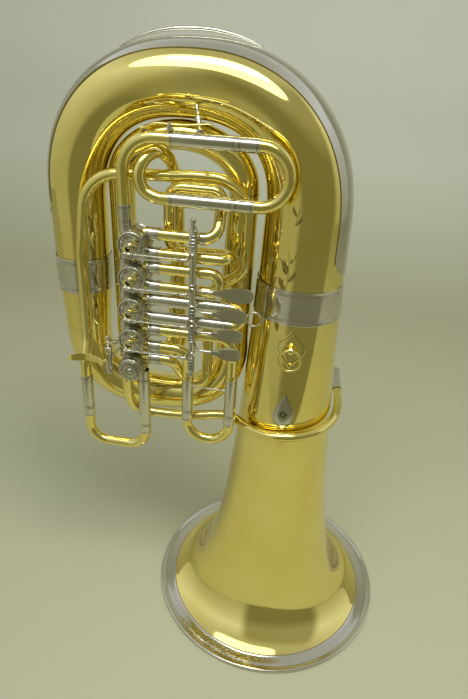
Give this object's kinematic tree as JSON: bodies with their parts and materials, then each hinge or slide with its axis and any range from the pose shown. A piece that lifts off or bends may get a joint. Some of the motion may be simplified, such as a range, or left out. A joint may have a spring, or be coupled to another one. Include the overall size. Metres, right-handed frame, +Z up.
{
  "type": "rotary-valve tuba",
  "caption": "Compact rotary-valve bass tuba standing on its flared bell, with a polished bow, stacked rotors, finger paddles, thumb lever and pull-out tuning slides.",
  "frame": {"origin": "under the middle of the instrument's bounding box, on the plane its bell rim stands on", "axes": "+Z up along the bell from rim to bow, +X across the body from the wound tubing towards the bell, +Y from the valve side towards the player"},
  "size_m": [0.6306, 0.448, 1.0116],
  "materials": {
    "lacquered_brass": "clear-lacquered and polished",
    "nickel_silver": "polished nickel silver, slightly warm"
  },
  "bodies": {
    "horn": {"bell": "lacquered_brass", "big_bow": "lacquered_brass", "left_branch": "lacquered_brass", "bottom_bow": "lacquered_brass", "inner_right_branch": "lacquered_brass", "inner_top_bow": "lacquered_brass", "inner_left_branch": "lacquered_brass", "slide_neck": "lacquered_brass", "slide_inlet_tube": "lacquered_brass", "first_valve_loop": "lacquered_brass", "fourth_valve_tubes": "lacquered_brass", "fifth_valve_loop": "lacquered_brass", "leadpipe": "lacquered_brass", "strap_ring_plate": "lacquered_brass", "bell_garland": "nickel_silver", "bell_ferrule": "nickel_silver", "left_ferrule": "nickel_silver", "bow_guard_strip": "nickel_silver", "bow_guard_rail": "nickel_silver", "upper_slide_sleeve": "nickel_silver", "lower_slide_sleeve": "nickel_silver", "water_key_saddle": "nickel_silver", "valve_casing_1": "nickel_silver", "valve_casing_2": "nickel_silver", "valve_casing_3": "nickel_silver", "valve_casing_4": "nickel_silver", "valve_casing_5": "nickel_silver", "valve_cap_1": "nickel_silver", "valve_cap_2": "nickel_silver", "valve_cap_3": "nickel_silver", "valve_cap_4": "nickel_silver", "knurled_cap_5": "nickel_silver", "fifth_slide_sleeve": "nickel_silver", "mouthpiece_receiver": "nickel_silver", "paddle_axle": "nickel_silver", "thumb_lever_bracket": "nickel_silver", "thumb_ring": "nickel_silver", "badge_plate": "nickel_silver"},
    "main_slide": {"main_tuning_slide": "lacquered_brass"},
    "second_slide": {"second_valve_slide": "lacquered_brass"},
    "third_slide": {"third_valve_slide": "lacquered_brass"},
    "fourth_slide": {"fourth_valve_slide": "lacquered_brass"},
    "fifth_slide": {"fifth_valve_slide": "lacquered_brass"},
    "water_key": {"water_key_lever": "lacquered_brass"},
    "carrying_ring": {"strap_ring": "lacquered_brass"},
    "thumb_lever": {"thumb_lever": "lacquered_brass"},
    "thumb_rod": {"thumb_rod": "nickel_silver"},
    "paddle_1": {"paddle_1": "nickel_silver"},
    "rod_1": {"linkage_rod_1": "nickel_silver"},
    "paddle_2": {"paddle_2": "nickel_silver"},
    "rod_2": {"linkage_rod_2": "nickel_silver"},
    "paddle_3": {"paddle_3": "nickel_silver"},
    "rod_3": {"linkage_rod_3": "nickel_silver"},
    "paddle_4": {"paddle_4": "nickel_silver"},
    "rod_4": {"linkage_rod_4": "nickel_silver"},
    "rotor_1": {"rotor_1": "lacquered_brass"},
    "rotor_2": {"rotor_2": "lacquered_brass"},
    "rotor_3": {"rotor_3": "lacquered_brass"},
    "rotor_4": {"rotor_4": "lacquered_brass"},
    "rotor_5": {"rotor_5": "lacquered_brass"}
  },
  "joints": [
    {"name": "paddle_1_press", "type": "hinge", "parent": "horn", "child": "paddle_1", "pos_m": [-0.0597, -0.098, 0.73088], "axis": [0, 0, 1], "range_deg": [0, 18], "stiffness_Nm_per_rad": 0.3, "springref_deg": -20.05},
    {"name": "rod_1_pivot", "type": "hinge", "parent": "paddle_1", "child": "rod_1", "pos_m": [-0.0635, -0.122, 0.73088], "axis": [0, 0, 1], "range_deg": [-18, 0]},
    {"name": "rotor_1_turn", "type": "hinge", "parent": "horn", "child": "rotor_1", "pos_m": [-0.1492, -0.08, 0.736], "axis": [0, -1, 0], "range_deg": [0, 90]},
    {"name": "paddle_2_press", "type": "hinge", "parent": "horn", "child": "paddle_2", "pos_m": [-0.0597, -0.098, 0.67963], "axis": [0, 0, 1], "range_deg": [0, 18], "stiffness_Nm_per_rad": 0.3, "springref_deg": -20.05},
    {"name": "rod_2_pivot", "type": "hinge", "parent": "paddle_2", "child": "rod_2", "pos_m": [-0.0635, -0.122, 0.67963], "axis": [0, 0, 1], "range_deg": [-18, 0]},
    {"name": "rotor_2_turn", "type": "hinge", "parent": "horn", "child": "rotor_2", "pos_m": [-0.15115, -0.08, 0.68475], "axis": [0, -1, 0], "range_deg": [0, 90]},
    {"name": "paddle_3_press", "type": "hinge", "parent": "horn", "child": "paddle_3", "pos_m": [-0.0597, -0.098, 0.62838], "axis": [0, 0, 1], "range_deg": [0, 18], "stiffness_Nm_per_rad": 0.3, "springref_deg": -20.05},
    {"name": "rod_3_pivot", "type": "hinge", "parent": "paddle_3", "child": "rod_3", "pos_m": [-0.0635, -0.122, 0.62838], "axis": [0, 0, 1], "range_deg": [-18, 0]},
    {"name": "rotor_3_turn", "type": "hinge", "parent": "horn", "child": "rotor_3", "pos_m": [-0.1531, -0.08, 0.6335], "axis": [0, -1, 0], "range_deg": [0, 90]},
    {"name": "paddle_4_press", "type": "hinge", "parent": "horn", "child": "paddle_4", "pos_m": [-0.0597, -0.098, 0.57713], "axis": [0, 0, 1], "range_deg": [0, 18], "stiffness_Nm_per_rad": 0.3, "springref_deg": -20.05},
    {"name": "rod_4_pivot", "type": "hinge", "parent": "paddle_4", "child": "rod_4", "pos_m": [-0.0635, -0.122, 0.57713], "axis": [0, 0, 1], "range_deg": [-18, 0]},
    {"name": "rotor_4_turn", "type": "hinge", "parent": "horn", "child": "rotor_4", "pos_m": [-0.15505, -0.08, 0.58225], "axis": [0, -1, 0], "range_deg": [0, 90]},
    {"name": "thumb_lever_press", "type": "hinge", "parent": "horn", "child": "thumb_lever", "pos_m": [-0.1957, -0.094, 0.548], "axis": [0, 0, -1], "range_deg": [0, 9], "stiffness_Nm_per_rad": 0.6, "springref_deg": -9.74},
    {"name": "thumb_rod_pivot", "type": "hinge", "parent": "thumb_lever", "child": "thumb_rod", "pos_m": [-0.1957, -0.0435, 0.53612], "axis": [0, 0, -1], "range_deg": [-9, 0]},
    {"name": "rotor_5_turn", "type": "hinge", "parent": "horn", "child": "rotor_5", "pos_m": [-0.157, -0.08, 0.531], "axis": [0, 1, 0], "range_deg": [0, 90]},
    {"name": "main_slide_pull", "type": "slide", "parent": "horn", "child": "main_slide", "axis": [1, 0, 0], "range_m": [0, 0.06]},
    {"name": "second_slide_pull", "type": "slide", "parent": "horn", "child": "second_slide", "axis": [1, 0, 0], "range_m": [0, 0.015]},
    {"name": "third_slide_pull", "type": "slide", "parent": "horn", "child": "third_slide", "axis": [1, 0, 0], "range_m": [0, 0.02]},
    {"name": "fourth_slide_pull", "type": "slide", "parent": "horn", "child": "fourth_slide", "axis": [0, 0, -1], "range_m": [0, 0.04]},
    {"name": "fifth_slide_pull", "type": "slide", "parent": "horn", "child": "fifth_slide", "axis": [0, 0, -1], "range_m": [0, 0.04]},
    {"name": "water_key_press", "type": "hinge", "parent": "horn", "child": "water_key", "pos_m": [-0.0967, -0.082, 0.8976], "axis": [0, 1, 0], "range_deg": [0, 10], "stiffness_Nm_per_rad": 0.1, "springref_deg": -17.19},
    {"name": "carrying_ring_swing", "type": "hinge", "parent": "horn", "child": "carrying_ring", "pos_m": [0.0913, -0.082, 0.59], "axis": [-1, 0, 0], "range_deg": [0, 70]}
  ],
  "couplings": [
    {"joint": "rod_1_pivot", "follows": "paddle_1_press", "ratio": -1},
    {"joint": "rotor_1_turn", "follows": "paddle_1_press", "ratio": 5},
    {"joint": "rod_2_pivot", "follows": "paddle_2_press", "ratio": -1},
    {"joint": "rotor_2_turn", "follows": "paddle_2_press", "ratio": 5},
    {"joint": "rod_3_pivot", "follows": "paddle_3_press", "ratio": -1},
    {"joint": "rotor_3_turn", "follows": "paddle_3_press", "ratio": 5},
    {"joint": "rod_4_pivot", "follows": "paddle_4_press", "ratio": -1},
    {"joint": "rotor_4_turn", "follows": "paddle_4_press", "ratio": 5},
    {"joint": "thumb_rod_pivot", "follows": "thumb_lever_press", "ratio": -1},
    {"joint": "rotor_5_turn", "follows": "thumb_lever_press", "ratio": 10}
  ]
}
